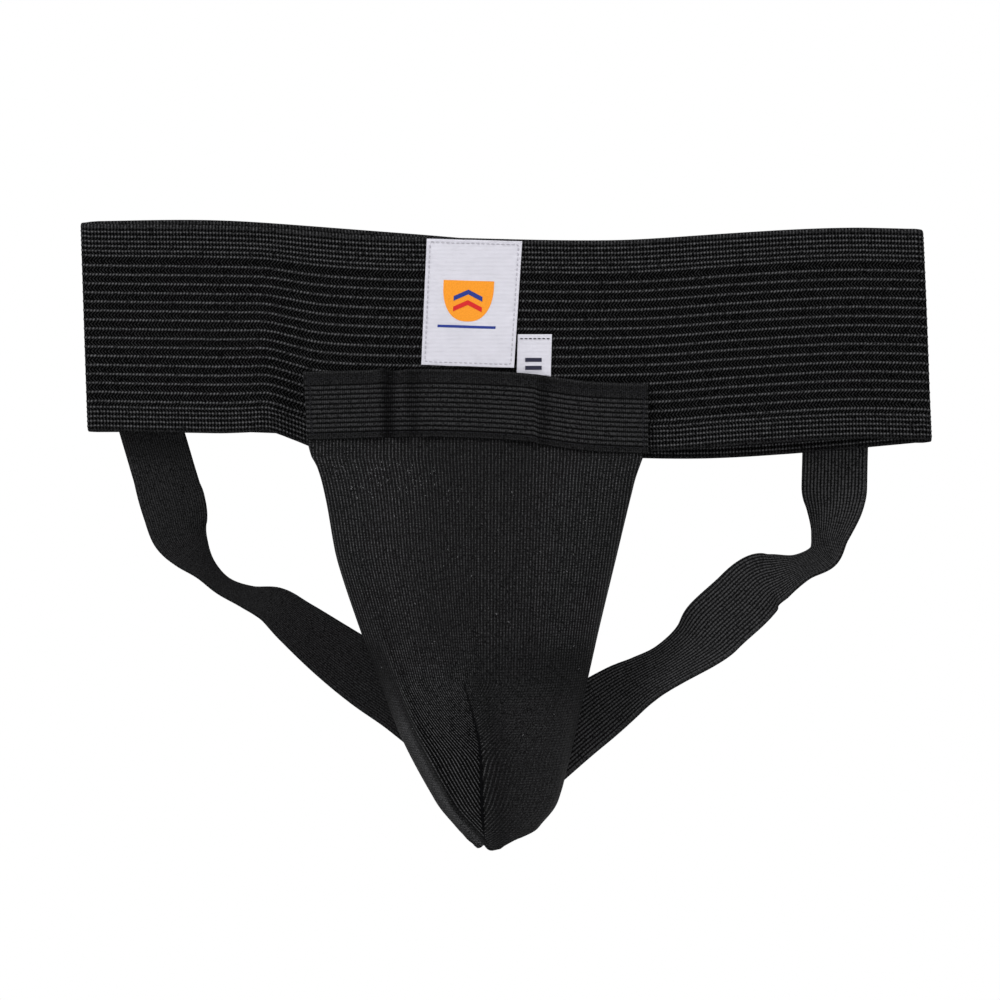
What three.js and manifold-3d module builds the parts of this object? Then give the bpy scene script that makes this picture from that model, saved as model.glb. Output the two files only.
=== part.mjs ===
// Groin protector: a hard vented cup in a knitted pouch on a wide elastic waistband, with two
// leg straps from behind the pouch's tip to the back of the waistband.
// Millimetres, upright as it is worn: +X to the right, -Y to the front, +Z up. The origin is the
// middle of the waist opening, half way up the waistband.
import * as THREE from 'three';
import { mergeVertices } from 'three/addons/utils/BufferGeometryUtils.js';
import Module from 'manifold-3d';

// Driving dimensions
const GAP = 0.3; // air between neighbouring pieces
const THREAD = 0.25; // thickness of a row of stitching
const BAND_WIDTH = 80;
const BAND_THICKNESS = 1.6;
const BAND_HALF_DEPTH = 8; // from the middle of the waist opening to the middle of the band's ply
const BAND_REACH = 155.8; // from the middle to the centre of a side fold
const FOLD_RADIUS = 2.75;
const FOLD_TAPER = 62; // length over which the two plies close towards a side fold
const BAND_LEAN = 0.033; // sideways drift of the whole band per millimetre down its width
const LABEL_THICKNESS = 0.3;
const MOUTH_WIDTH = 25.7;
const MOUTH_THICKNESS = 1.4;
const STRAP_WIDTH = 25;
const STRAP_THICKNESS = 1.1;
const LINING_THICKNESS = 0.8;
const KNIT_THICKNESS = 1.2;
const BINDING_WIDTH = 1;
const CUP_WALL = 2.5;
const CUP_INSET = 7; // the cup's outline is this far inside the pouch's
const CUP_DROP = 4.5; // the cup's crown is this far behind the pouch's
const RIM_WIDTH = 4.6;
const RIM_THICKNESS = 2.2;

// Depths of the plies, front faces being the more negative
const BAND_FACE = -BAND_HALF_DEPTH - BAND_THICKNESS / 2;
const LABEL_BACK = BAND_FACE - GAP;
const LABEL_FACE = LABEL_BACK - LABEL_THICKNESS;
const MOUTH_BACK = LABEL_FACE - GAP;
const MOUTH_FACE = MOUTH_BACK - MOUTH_THICKNESS;
const LINING_BACK = -9.2;
const LINING_FACE = LINING_BACK - LINING_THICKNESS;
const POUCH_BASE = LINING_FACE - GAP;

// Edges of the waistband: [x, height]
const FRONT_TOP = [
  [-157, 46.2], [-96, 44.9], [-51, 41.5], [-28, 40.8], [43, 39.6], [88, 42.3], [130, 44.5], [158, 44.2],
];
const FRONT_BOTTOM = [
  [-157, -32.3], [-104, -33.4], [-86, -33], [-74, -40.2], [54, -40.2], [82, -38.1], [129, -35.4],
  [158, -35.9],
];
const BACK_TOP = [[-158, 47.3], [-98, 47.3], [-40, 43.6], [20, 38.8], [67, 37.2], [107, 39.2], [158, 43.8]];

// Upper edge of the elastic across the pouch's mouth, and its two ends: [x, height]
const MOUTH_TOP = [
  [-76.4, -10.2], [-33, -9.1], [-10, -9.6], [12, -11.1], [25.5, -13.2], [37, -14.1], [54, -14.7],
];
const MOUTH_LEFT = -76.4;
const MOUTH_RIGHT = 53.8;
const MOUTH_TAPER = 1.9; // the lower left corner stands in by this much

// Side outline of the pouch from its mouth to its tip: [height, half width, middle x, crown]
const POUCH = [
  [-42, 62.4, -10.2, 2], [-48, 60.2, -10.3, 7.5], [-60, 57.2, -10.4, 17], [-80, 53, -11, 29],
  [-106, 45.6, -9.9, 39], [-126, 39.6, -8.4, 43], [-146, 33.5, -6.9, 40], [-160, 28.4, -5, 33],
  [-172, 23.2, -3.3, 24], [-180, 18.2, -2.9, 17], [-186, 10, -3.8, 9], [-190.6, 2.6, -6.2, 3],
];
const POUCH_TOP = -42;
const POUCH_TIP = -190.6;
const LINING_TOP = -43.5; // a little lower, so that it clears the waistband when the pouch folds back
const POUCH_ROWS = 20; // steps down the pouch's front, lining and bindings, so that they keep their gaps
const POUCH_SQUARENESS = 2.25; // 2 gives elliptic cross-sections, more gives boxier ones

// Line of the dart's seam: [x, height]
const DART = [[-15.1, -127], [-12.3, -136], [-9.6, -148], [-8.9, -163], [-8.5, -176], [-7.6, -186]];

const CUP_TOP = -51;
const CUP_TIP = -182;
const CUP_ARCH = 4; // the middle of the cup's top edge stands above its corners

// Label's corners from the top left, clockwise, and the size tab's edges
const LABEL = [[-29.7, 40.1], [6.3, 39.1], [3.2, -8.7], [-31.8, -7.5]];
const LABEL_HEM = 1.3;
const TAB = { left: 4.6, right: 17.5, top: 4, bottom: -18 };

// Straps from the waistband down to the tip: [x, y, height, tilt of the outer edge to the front in degrees]
const STRAP_SEWN_TOP = -19;
const STRAP_SEWN_BOTTOM = -51.7;
const LEFT_ROUTE = [
  [-128.6, 6.9, -53.6, 7], [-126, 6.2, -62.5, 16], [-124, 5, -71.3, 33], [-120.8, 4.2, -79, 50],
  [-115, 3.6, -85.8, 66], [-107, 3, -90.8, 72], [-97.8, 2.2, -95.4, 70], [-88.4, 1.2, -100.1, 57],
  [-79.2, 0, -106, 43], [-65.5, -2, -116.2, 30], [-52, -4.6, -127, 16], [-39, -7.3, -139, 4],
  [-24, -8.35, -154, 0], [-5.8, -8.35, -172, 0],
];
const RIGHT_ROUTE = [
  [125.4, 7.1, -53.6, 8], [125.2, 6.4, -62.3, 32], [123.4, 5.4, -71.6, 53], [119.8, 4.8, -78.8, 62],
  [113, 4.2, -84.8, 64], [104.4, 3.6, -88.8, 50], [97.7, 3, -92, 26], [88.6, 2, -97.4, 2],
  [79.5, 1, -104.4, 4], [70.4, 0, -111.5, 34], [61.3, -0.8, -120.2, 53], [52.3, -1.6, -126.4, 47],
  [43.2, -2.5, -132.5, 28], [28, -4.8, -143, 8], [11, -6.7, -157.5, 1], [-5, -6.95, -171, 0],
];

const { clamp, lerp, smoothstep, degToRad } = THREE.MathUtils;
const smooth = (t) => smoothstep(t, 0, 1);

// Smooth curve through rows of numbers: value of a column where the first column is `at`
function curveThrough(rows, column = 1) {
  const up = rows[0][0] < rows.at(-1)[0] ? rows : [...rows].reverse();
  const slopes = up.map((row, i) => {
    const [a, b] = [up[Math.max(i - 1, 0)], up[Math.min(i + 1, up.length - 1)]];
    return (b[column] - a[column]) / (b[0] - a[0]);
  });
  return (at) => {
    const x = clamp(at, up[0][0], up.at(-1)[0]);
    const i = Math.min(up.findLastIndex((row) => row[0] <= x), up.length - 2);
    const span = up[i + 1][0] - up[i][0];
    const t = (x - up[i][0]) / span;
    const [p, q, m, n] = [up[i][column], up[i + 1][column], slopes[i] * span, slopes[i + 1] * span];
    return (2 * t ** 3 - 3 * t * t + 1) * p + (t ** 3 - 2 * t * t + t) * m
      + (3 * t * t - 2 * t ** 3) * q + (t ** 3 - t * t) * n;
  };
}

// Points of a row, from a function of a share that runs from 0 up to just before 1
const row = (count, point) => Array.from({ length: count }, (_, i) => point(i / count));

// Points of a grid, from a function of two shares from 0 to 1
function grid(rows, columns, point) {
  return Array.from({ length: rows + 1 }, (_, r) =>
    Array.from({ length: columns + 1 }, (_, c) => point(r / rows, c / columns)));
}

// Closed body between two grids of points. With loop, the last row joins the first.
function slab(over, under, loop = false) {
  const rows = over.length;
  const last = over[0].length - 1;
  const faces = [];
  const quad = (a, b, c, d) => faces.push(a, b, c, a, c, d);
  for (let r = 0; r < (loop ? rows : rows - 1); r++) {
    const next = (r + 1) % rows;
    for (let c = 0; c < last; c++) {
      quad(over[r][c], over[r][c + 1], over[next][c + 1], over[next][c]);
      quad(under[r][c], under[next][c], under[next][c + 1], under[r][c + 1]);
    }
    quad(over[r][0], over[next][0], under[next][0], under[r][0]);
    quad(over[next][last], over[r][last], under[r][last], under[next][last]);
  }
  for (let c = 0; c < (loop ? 0 : last); c++) {
    quad(over[0][c + 1], over[0][c], under[0][c], under[0][c + 1]);
    quad(over[rows - 1][c], over[rows - 1][c + 1], under[rows - 1][c + 1], under[rows - 1][c]);
  }
  const geometry = new THREE.BufferGeometry().setFromPoints(facingOut(faces));
  geometry.computeVertexNormals();
  return geometry;
}

// Corners of a closed body's triangles, turned round if its faces point inwards
function facingOut(corners) {
  let volume = 0;
  for (let i = 0; i < corners.length; i += 3) {
    volume += corners[i].dot(corners[i + 1].clone().cross(corners[i + 2]));
  }
  return volume < 0 ? corners.reverse() : corners;
}

// Flat ply between two depths: outline(across, down) gives its [x, height]
function ply(rows, columns, outline, back, face) {
  const layer = (y) => grid(rows, columns, (down, across) => {
    const [x, z] = outline(across, down);
    return new THREE.Vector3(x, y, z);
  });
  return slab(layer(face), layer(back));
}

// Shell whose outside is point(u, v), with its inside a wall thickness behind it
function shell(rows, columns, point, wall) {
  const step = 0.002;
  const inside = (u, v) => {
    const [a, b] = [clamp(u, step, 1 - step), clamp(v, step, 1 - step)];
    const alongU = point(a + step, b).sub(point(a - step, b));
    const alongV = point(a, b + step).sub(point(a, b - step));
    const normal = alongU.cross(alongV).normalize();
    const inward = normal.y > 0 ? normal : normal.negate();
    const at = point(u, v).addScaledVector(inward, wall);
    return at.setY(Math.min(at.y, point(u, 0).y));
  };
  return slab(grid(rows, columns, point), grid(rows, columns, inside));
}

// Waistband

const frontTop = curveThrough(FRONT_TOP);
const frontBottom = curveThrough(FRONT_BOTTOM);
const backTop = curveThrough(BACK_TOP);
const backBottom = (x) => backTop(x) - BAND_WIDTH;
const halfDepth = (x) => lerp(FOLD_RADIUS, BAND_HALF_DEPTH, smooth((BAND_REACH - Math.abs(x)) / FOLD_TAPER));
const leanAt = (z) => -BAND_LEAN * z;

// The loop seen from above: points of its middle line with outward directions and edge heights
function bandPath() {
  const across = (side, top, bottom) => row(32, (share) => {
    const x = side * lerp(-BAND_REACH, BAND_REACH, share);
    return { x, y: -side * halfDepth(x), top: top(x), bottom: bottom(x) };
  });
  const fold = (side, from, to) => row(6, (share) => ({
    x: side * (BAND_REACH + FOLD_RADIUS * Math.sin(Math.PI * share)),
    y: -side * FOLD_RADIUS * Math.cos(Math.PI * share),
    top: lerp(from[0], to[0], share),
    bottom: lerp(from[1], to[1], share),
  }));
  const frontEnd = (x) => [frontTop(x), frontBottom(x)];
  const backEnd = (x) => [backTop(x), backBottom(x)];
  return [
    ...across(1, frontTop, frontBottom),
    ...fold(1, frontEnd(BAND_REACH), backEnd(BAND_REACH)),
    ...across(-1, backTop, backBottom),
    ...fold(-1, backEnd(-BAND_REACH), frontEnd(-BAND_REACH)),
  ];
}

function waistband() {
  const path = bandPath();
  const side = (offset) => path.map(({ x, y, top, bottom }, i) => {
    const [before, after] = [path.at(i - 1), path[(i + 1) % path.length]];
    const out = new THREE.Vector2(after.y - before.y, before.x - after.x).normalize();
    return [0, 1].map((down) => {
      const z = lerp(top, bottom, down);
      return new THREE.Vector3(x + out.x * offset + leanAt(z), y + out.y * offset, z);
    });
  });
  return slab(side(BAND_THICKNESS / 2), side(-BAND_THICKNESS / 2), true);
}

// Zigzag of thread on a face at depth(x), standing out to the front (-1) or to the back (1)
function zigzag(from, to, width, pitch, depth, out) {
  const threadWidth = 0.5;
  const start = new THREE.Vector2(...from);
  const run = new THREE.Vector2(...to).sub(start);
  const across = new THREE.Vector2(-run.y, run.x).normalize();
  const turns = Math.max(2, Math.round(run.length() / pitch));
  const reach = threadWidth * Math.hypot(width, pitch) / pitch; // the slanted thread, cut across the run
  const layer = (height) => Array.from({ length: turns + 1 }, (_, i) => [-0.5, 0.5].map((share) => {
    const at = start.clone().addScaledVector(run, i / turns)
      .addScaledVector(across, (i % 2 ? 0.5 : -0.5) * width + share * reach);
    return new THREE.Vector3(at.x, depth(at.x) + out * height, at.y);
  }));
  return slab(layer(GAP + THREAD), layer(GAP));
}

// Label and size tab

function labelPatch(inset, across, down) {
  const [a, b, c, d] = LABEL;
  const u = lerp(inset / (b[0] - a[0]), 1 - inset / (b[0] - a[0]), across);
  const v = lerp(inset / (a[1] - d[1]), 1 - inset / (a[1] - d[1]), down);
  return [0, 1].map((k) => lerp(lerp(a[k], b[k], u), lerp(d[k], c[k], u), v));
}

function labelStitching() {
  const threadWidth = 0.5;
  const corners = [[0, 0], [1, 0], [1, 1], [0, 1]];
  const layer = (y) => corners.map(([across, down]) => [0, threadWidth].map((more) => {
    const [x, z] = labelPatch(LABEL_HEM + more, across, down);
    return new THREE.Vector3(x, y, z);
  }));
  return slab(layer(LABEL_FACE - GAP - THREAD), layer(LABEL_FACE - GAP), true);
}

const tabPatch = (across, down) => [
  lerp(TAB.left, TAB.right, across) - 0.6 * down, lerp(TAB.top, TAB.bottom, down)];
const tabStitch = (across, down) => [
  lerp(TAB.left + 0.6, TAB.right - 0.6, across), TAB.top - 1.4 - 0.5 * down];

// Elastic across the pouch's mouth

const mouthTop = curveThrough(MOUTH_TOP);

function mouthPatch(across, down) {
  const left = MOUTH_LEFT + MOUTH_TAPER * down;
  const x = lerp(left, MOUTH_RIGHT, across);
  return [x, mouthTop(x) - MOUTH_WIDTH * down];
}

// One row of stitches along the mouth elastic, a distance under its upper edge
function mouthStitch(under) {
  const outline = (across, down) =>
    mouthPatch(lerp(0.025, 0.975, across), (under + 0.5 * down) / MOUTH_WIDTH);
  return ply(1, 14, outline, MOUTH_FACE - GAP, MOUTH_FACE - GAP - THREAD);
}

function mouthTack(across) {
  const margin = 1.6 / MOUTH_WIDTH;
  return zigzag(mouthPatch(across, 1 - margin), mouthPatch(across, margin), 1.6, 2, () => MOUTH_FACE, -1);
}

// Pouch

const [halfWidth, middleX, crown] = [1, 2, 3].map((column) => curveThrough(POUCH, column));
const arch = (t) => (1 - Math.min(Math.abs(t), 1) ** POUCH_SQUARENESS) ** (1 / POUCH_SQUARENESS);

// Dome over an outline: v runs from the left edge to the right, closest together at the edges
function domePoint(z, v, half, height, base) {
  const turn = Math.PI * v;
  const t = -Math.sign(Math.cos(turn)) * Math.abs(Math.cos(turn)) ** (2 / POUCH_SQUARENESS);
  return new THREE.Vector3(middleX(z) + t * half, base - height * arch(t), z);
}

function pouchFront() {
  const point = (u, v) => {
    const z = lerp(POUCH_TOP, POUCH_TIP, u);
    return domePoint(z, v, halfWidth(z) - BINDING_WIDTH - GAP, crown(z), POUCH_BASE);
  };
  return shell(POUCH_ROWS, 18, point, KNIT_THICKNESS);
}

function pouchLining() {
  const outline = (across, down) => {
    const z = Math.min(lerp(POUCH_TOP, POUCH_TIP, down), LINING_TOP);
    return [middleX(z) + (2 * across - 1) * (halfWidth(z) - BINDING_WIDTH - GAP), z];
  };
  return ply(POUCH_ROWS, 1, outline, LINING_BACK, LINING_FACE);
}

// Overlocked edge that joins the pouch's front to its lining, along one side
function edgeBinding(side) {
  const outline = (across, down) => {
    const z = lerp(POUCH_TOP, POUCH_TIP, down * (POUCH_ROWS - 1) / POUCH_ROWS);
    return [middleX(z) + side * (halfWidth(z) - BINDING_WIDTH * across), z];
  };
  return ply(POUCH_ROWS - 1, 1, outline, LINING_BACK, POUCH_BASE - KNIT_THICKNESS);
}

// Stitched ridge of the dart that shapes the pouch's lower end
function dartSeam() {
  const xAt = curveThrough(DART.map(([x, z]) => [z, x]));
  const depthAt = (x, z) => POUCH_BASE
    - crown(z) * arch((x - middleX(z)) / (halfWidth(z) - BINDING_WIDTH - GAP));
  const layer = (lift) => grid(24, 1, (down, across) => {
    const z = lerp(DART[0][1], DART.at(-1)[1], down);
    const x = xAt(z) + 0.9 * (across - 0.5);
    const slopeX = depthAt(x + 0.5, z) - depthAt(x - 0.5, z);
    const slopeZ = depthAt(x, z + 0.5) - depthAt(x, z - 0.5);
    const out = new THREE.Vector3(slopeX, -1, slopeZ).normalize();
    return new THREE.Vector3(x, depthAt(x, z), z).addScaledVector(out, lift);
  });
  return slab(layer(GAP + 0.6), layer(GAP));
}

// Cup

function cupPoint(u, v) {
  const t = 2 * v - 1;
  const z = lerp(CUP_TOP - CUP_ARCH * t * t, CUP_TIP + 3 * t * t, u);
  const corner = lerp(0.8, 1, Math.sin(Math.PI / 2 * clamp(u / 0.14, 0, 1)));
  const half = (halfWidth(z) - CUP_INSET) * corner;
  const height = Math.max(crown(z) - CUP_DROP, 1.2) - RIM_THICKNESS;
  return domePoint(z, v, half, height, POUCH_BASE - GAP - RIM_THICKNESS);
}

const wasm = await Module();
wasm.setup();

function toSolid(geometry) {
  const bare = geometry.clone();
  bare.deleteAttribute('normal');
  bare.deleteAttribute('uv');
  const merged = mergeVertices(bare, 1e-4);
  return new wasm.Manifold(new wasm.Mesh({
    numProp: 3,
    vertProperties: merged.attributes.position.array,
    triVerts: new Uint32Array(merged.index.array),
  }));
}

function toGeometry(solid) {
  const { vertProperties, triVerts } = solid.getMesh();
  const geometry = new THREE.BufferGeometry()
    .setAttribute('position', new THREE.BufferAttribute(vertProperties, 3))
    .setIndex(new THREE.BufferAttribute(triVerts, 1));
  geometry.computeVertexNormals();
  return geometry;
}

// Round-ended upright slot through the cup at [x, z]
function ventCutter(x, z, length, width) {
  const [half, radius] = [(length - width) / 2, width / 2];
  const outline = new THREE.Shape();
  outline.absarc(0, half, radius, 0, Math.PI);
  outline.absarc(0, -half, radius, Math.PI, 2 * Math.PI);
  const cutter = new THREE.ExtrudeGeometry(outline, { depth: 70, bevelEnabled: false, curveSegments: 3 });
  return toSolid(cutter.rotateX(Math.PI / 2).translate(x, POUCH_BASE, z));
}

function cupShell() {
  let solid = toSolid(shell(18, 16, cupPoint, CUP_WALL));
  for (const column of [-1, 0, 1]) {
    for (const row of [0, 1, 2]) {
      const z = -84 - 25 * row + 5 * Math.abs(column);
      const x = middleX(z) + column * (20 - 3 * row);
      solid = solid.subtract(ventCutter(x, z, 14, 4.5));
    }
  }
  return toGeometry(solid);
}

// Soft edge behind the cup's wall, all the way round
function cupRim() {
  const outline = [
    ...row(12, (share) => cupPoint(0, share)),
    ...row(20, (share) => cupPoint(share, 1)),
    ...row(8, (share) => cupPoint(1, 1 - share)),
    ...row(20, (share) => cupPoint(1 - share, 0)),
  ].map((point) => point.setY(0));
  const loop = new THREE.CatmullRomCurve3(outline, true, 'centripetal');
  const centre = new THREE.Box3().setFromPoints(outline).getCenter(new THREE.Vector3());
  const steps = 56;
  const layer = (y) => Array.from({ length: steps }, (_, i) => {
    const at = loop.getPointAt(i / steps);
    const along = loop.getTangentAt(i / steps);
    const inward = new THREE.Vector3(along.z, 0, -along.x);
    inward.multiplyScalar(Math.sign(inward.dot(centre.clone().sub(at))));
    return [-0.2, 0.8].map((share) => at.clone().addScaledVector(inward, share * RIM_WIDTH).setY(y));
  });
  return slab(layer(POUCH_BASE - RIM_THICKNESS), layer(POUCH_BASE), true);
}

// Leg straps

// Free stretch of a strap; its outer edge tilts to the front by the route's last column
function strap(route, side) {
  const [x, y, z, tilt] = [0, 1, 2, 3].map((column) => curveThrough(route.map((row, i) => [i, row[column]])));
  const place = (at) => new THREE.Vector3(x(at), y(at), z(at));
  const last = route.length - 1;
  const front = new THREE.Vector3(0, -1, 0);
  const level = new THREE.Vector3(side, 0, 0); // the upper end is cut level, like the waistband's edge
  const surface = (height) => grid(3 * last, 2, (u, v) => {
    const at = u * last;
    const along = place(Math.min(at + 0.05, last)).sub(place(Math.max(at - 0.05, 0))).normalize();
    const square = new THREE.Vector3(-along.z, 0, along.x).multiplyScalar(side).normalize();
    const outward = square.lerp(level, 1 - smooth(at)).normalize();
    const angle = degToRad(tilt(at));
    const wide = outward.multiplyScalar(Math.cos(angle)).addScaledVector(front, Math.sin(angle));
    const normal = along.clone().cross(wide).normalize();
    return place(at).addScaledVector(wide, (v - 0.5) * STRAP_WIDTH)
      .addScaledVector(normal, height * STRAP_THICKNESS);
  });
  return slab(surface(0.5), surface(-0.5));
}

// Outside of the waistband's back ply, which the straps' upper ends follow
const backFace = (x) => halfDepth(x) + BAND_THICKNESS / 2;
const sewnLean = (route) => (route[0][0] - route[1][0]) / (route[0][2] - route[1][2]);

// Upper end of a strap, sewn on the outside of the waistband's back and hanging just below it
function sewnEnd(route) {
  const outline = (across, down) => {
    const z = lerp(STRAP_SEWN_TOP, STRAP_SEWN_BOTTOM, down);
    return [route[0][0] + sewnLean(route) * (z - route[0][2]) + (across - 0.5) * STRAP_WIDTH, z];
  };
  const layer = (out) => grid(2, 6, (down, across) => {
    const [x, z] = outline(across, down);
    return new THREE.Vector3(x, backFace(x - leanAt(z)) + out, z);
  });
  return slab(layer(GAP + STRAP_THICKNESS), layer(GAP));
}

function waistTack(route) {
  const middle = route[0][0] + sewnLean(route) * (STRAP_SEWN_TOP - 6 - route[0][2]);
  const z = STRAP_SEWN_TOP - 6;
  const depth = (x) => backFace(x - leanAt(z)) + GAP + STRAP_THICKNESS;
  return zigzag([middle - 10.5, z], [middle + 10.5, z], 8, 1.75, depth, 1);
}

const fabric = (color, roughness) => new THREE.MeshStandardMaterial({ color, roughness, metalness: 0 });
const materials = {
  elastic: fabric(0x1a191b, 0.85),
  ribbed: fabric(0x1f1e1f, 0.85),
  webbing: fabric(0x212121, 0.8),
  knit: fabric(0x201f21, 0.9),
  thread: fabric(0x161618, 0.7),
  satin: fabric(0xdbdae4, 0.45),
  whiteThread: fabric(0xcfcdd8, 0.6),
  cup: fabric(0xd9d9d4, 0.35),
  rim: fabric(0x2a2a2c, 0.6),
};

const model = new THREE.Group();
function add(name, geometry, material) {
  const mesh = new THREE.Mesh(geometry, materials[material]);
  mesh.name = name;
  model.add(mesh);
}

add('waistband', waistband(), 'elastic');
for (const [name, x] of [['waistband_join_stitch_left', -6], ['waistband_join_stitch_right', 6]]) {
  add(name, zigzag([x, backTop(x) - 2], [x, backBottom(x) + 2], 1.6, 4, backFace, 1), 'thread');
}
add('label', ply(1, 1, (across, down) => labelPatch(0, across, down), LABEL_BACK, LABEL_FACE), 'satin');
add('label_stitching', labelStitching(), 'whiteThread');
add('size_tab', ply(2, 1, tabPatch, LABEL_BACK, LABEL_FACE), 'satin');
add('size_tab_stitch', ply(1, 1, tabStitch, LABEL_FACE - GAP, LABEL_FACE - GAP - THREAD), 'thread');

add('mouth_elastic', ply(1, 14, mouthPatch, MOUTH_BACK, MOUTH_FACE), 'ribbed');
add('mouth_hem_stitch_upper', mouthStitch(3), 'thread');
add('mouth_hem_stitch_lower', mouthStitch(MOUTH_WIDTH - 2), 'thread');
add('mouth_side_tack_left', mouthTack(0.012), 'thread');
add('mouth_side_tack_right', mouthTack(0.988), 'thread');

add('pouch_front', pouchFront(), 'knit');
add('pouch_lining', pouchLining(), 'knit');
add('pouch_dart_seam', dartSeam(), 'thread');
add('pouch_edge_binding_left', edgeBinding(-1), 'knit');
add('pouch_edge_binding_right', edgeBinding(1), 'knit');
add('cup_shell', cupShell(), 'cup');
add('cup_rim', cupRim(), 'rim');

for (const [name, route, side] of [['left', LEFT_ROUTE, -1], ['right', RIGHT_ROUTE, 1]]) {
  add(`leg_strap_${name}`, strap(route, side), 'webbing');
  add(`leg_strap_${name}_sewn_end`, sewnEnd(route), 'webbing');
  add(`leg_strap_${name}_waist_tack`, waistTack(route), 'thread');
}
const tipFace = RIGHT_ROUTE.at(-1)[1] + STRAP_THICKNESS / 2;
add('leg_strap_tip_tack', zigzag([-12, -164], [2, -164], 6, 1.4, () => tipFace, 1), 'thread');

export default model;
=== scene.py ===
"""Groin protector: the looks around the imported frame. The script's own lengths are millimetres."""
import math

import bpy
import numpy as np
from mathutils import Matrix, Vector


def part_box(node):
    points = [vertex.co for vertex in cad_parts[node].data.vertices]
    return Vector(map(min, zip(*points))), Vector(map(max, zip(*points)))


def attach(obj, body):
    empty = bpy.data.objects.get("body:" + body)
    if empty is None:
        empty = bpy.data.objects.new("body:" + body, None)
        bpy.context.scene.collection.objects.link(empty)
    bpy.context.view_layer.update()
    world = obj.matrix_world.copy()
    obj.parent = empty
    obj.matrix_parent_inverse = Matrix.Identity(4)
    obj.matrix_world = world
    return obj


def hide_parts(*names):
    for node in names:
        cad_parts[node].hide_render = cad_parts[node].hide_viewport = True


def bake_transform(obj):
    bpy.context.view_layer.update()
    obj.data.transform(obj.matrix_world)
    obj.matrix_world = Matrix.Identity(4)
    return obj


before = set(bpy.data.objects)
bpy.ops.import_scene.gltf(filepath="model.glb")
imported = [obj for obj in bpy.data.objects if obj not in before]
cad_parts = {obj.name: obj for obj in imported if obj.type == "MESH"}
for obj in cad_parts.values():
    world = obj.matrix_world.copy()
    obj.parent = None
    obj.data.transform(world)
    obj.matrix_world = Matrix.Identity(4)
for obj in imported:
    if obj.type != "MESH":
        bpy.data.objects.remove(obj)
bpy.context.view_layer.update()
MM = 0.001
X, Y, Z = 0, 1, 2
FRONT = np.array([0.0, -1, 0])
BACK = -FRONT
random = np.random.default_rng(11)

# Sizes that the frame's solids share
BAND_REACH = 155.8  # from the middle to the centre of a side fold
FOLD_RADIUS = 2.75
BAND_THICKNESS = 1.6
BAND_LEAN = 0.033  # sideways drift of the band per millimetre down its width
STRAP_WIDTH = 25
STRAP_THICKNESS = 1.1
SQUARENESS = 2.25  # of the pouch's cross-sections

# Rows of dashes, as lengths below the band's top edge: close rows at both edges, wide ones between
BAND_WIDTH = 80
ROW_PITCH = 3.49
CLOSE_ROWS = [3 + 1.84 * i for i in range(6)] + [70.6 + 1.82 * i for i in range(5)]
WIDE_ROWS = [16 + ROW_PITCH * i for i in range(16)]
BAND_ROWS = sorted(CLOSE_ROWS + WIDE_ROWS)
WIDE_MIDDLE, WIDE_REACH = 41.8, 27.6  # the zone of the wide rows, whose dashes are slanted
DASH = 1.25  # from one dash of a row to the next


# Frame

def cuts(node, axis, places, keep=None):
    """One row for each place along an axis: the place, then the section's lowest and highest corner."""
    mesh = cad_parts[node].data
    points = np.array([vertex.co for vertex in mesh.vertices]) / MM
    ends = np.array([edge.vertices[:] for edge in mesh.edges])
    a, b = points[ends[:, 0]], points[ends[:, 1]]
    rows = []
    for place in places:
        before, after = a[:, axis] - place, b[:, axis] - place
        crossed = (before * after <= 0) & (before != after)
        share = (before[crossed] / (before - after)[crossed])[:, None]
        found = a[crossed] + (b[crossed] - a[crossed]) * share
        if keep is not None:
            found = found[keep(found)]
        rows.append([place, *found.min(0), *found.max(0)])
    return np.array(rows)


def curve(places, values):
    """Smooth curve through values at rising places; it stays level beyond its ends."""
    places, values = np.asarray(places, float), np.asarray(values, float)
    slopes = np.gradient(values, places)

    def at(where):
        where = np.clip(where, places[0], places[-1])
        i = np.clip(np.searchsorted(places, where, side="right") - 1, 0, len(places) - 2)
        span = places[i + 1] - places[i]
        t = (where - places[i]) / span
        return ((2 * t ** 3 - 3 * t ** 2 + 1) * values[i] + (t ** 3 - 2 * t ** 2 + t) * slopes[i] * span
                + (3 * t ** 2 - 2 * t ** 3) * values[i + 1] + (t ** 3 - t ** 2) * slopes[i + 1] * span)
    return at


def low_high(node):
    """Lowest and highest corner of a node's box"""
    low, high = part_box(node)
    return np.array(low) / MM, np.array(high) / MM


def hump(where, middle, reach):
    """Soft bump of height 1 around a middle"""
    return np.exp(-((where - middle) / reach) ** 2)


def ramp(where, start, end):
    """Smooth step from 0 at the start to 1 at the end"""
    t = np.clip((where - start) / (end - start), 0, 1)
    return t * t * (3 - 2 * t)


def grid(*parts):
    """Points from their coordinates, each an array or a number"""
    return np.stack(np.broadcast_arrays(*parts), -1)


def unit(vectors):
    """Vectors along the last axis, made 1 long"""
    return vectors / np.linalg.norm(vectors, axis=-1, keepdims=True)


def walk(points):
    """Length from the first point of a row to each of its points"""
    return np.concatenate([[0], np.cumsum(np.linalg.norm(np.diff(points, axis=0), axis=1))])


# Meshes

def link_new(name, data):
    thing = bpy.data.objects.new(name, data)
    bpy.context.collection.objects.link(thing)
    return thing


def new_object(name, vertices, faces, smooth=True):
    mesh = bpy.data.meshes.new(name)
    mesh.from_pydata((np.asarray(vertices) * MM).tolist(), [], faces)
    mesh.polygons.foreach_set("use_smooth", [smooth] * len(mesh.polygons))
    return link_new(name, mesh)


def volume(vertices, faces):
    """Six times the volume inside four-sided faces, negative where they face inwards"""
    corners = np.asarray(vertices)[np.asarray(faces)]
    first, second, third = (corners[:, k] - corners[:, 0] for k in (1, 2, 3))
    return float(((np.cross(first, second) + np.cross(second, third)) * corners[:, 0]).sum())


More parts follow.
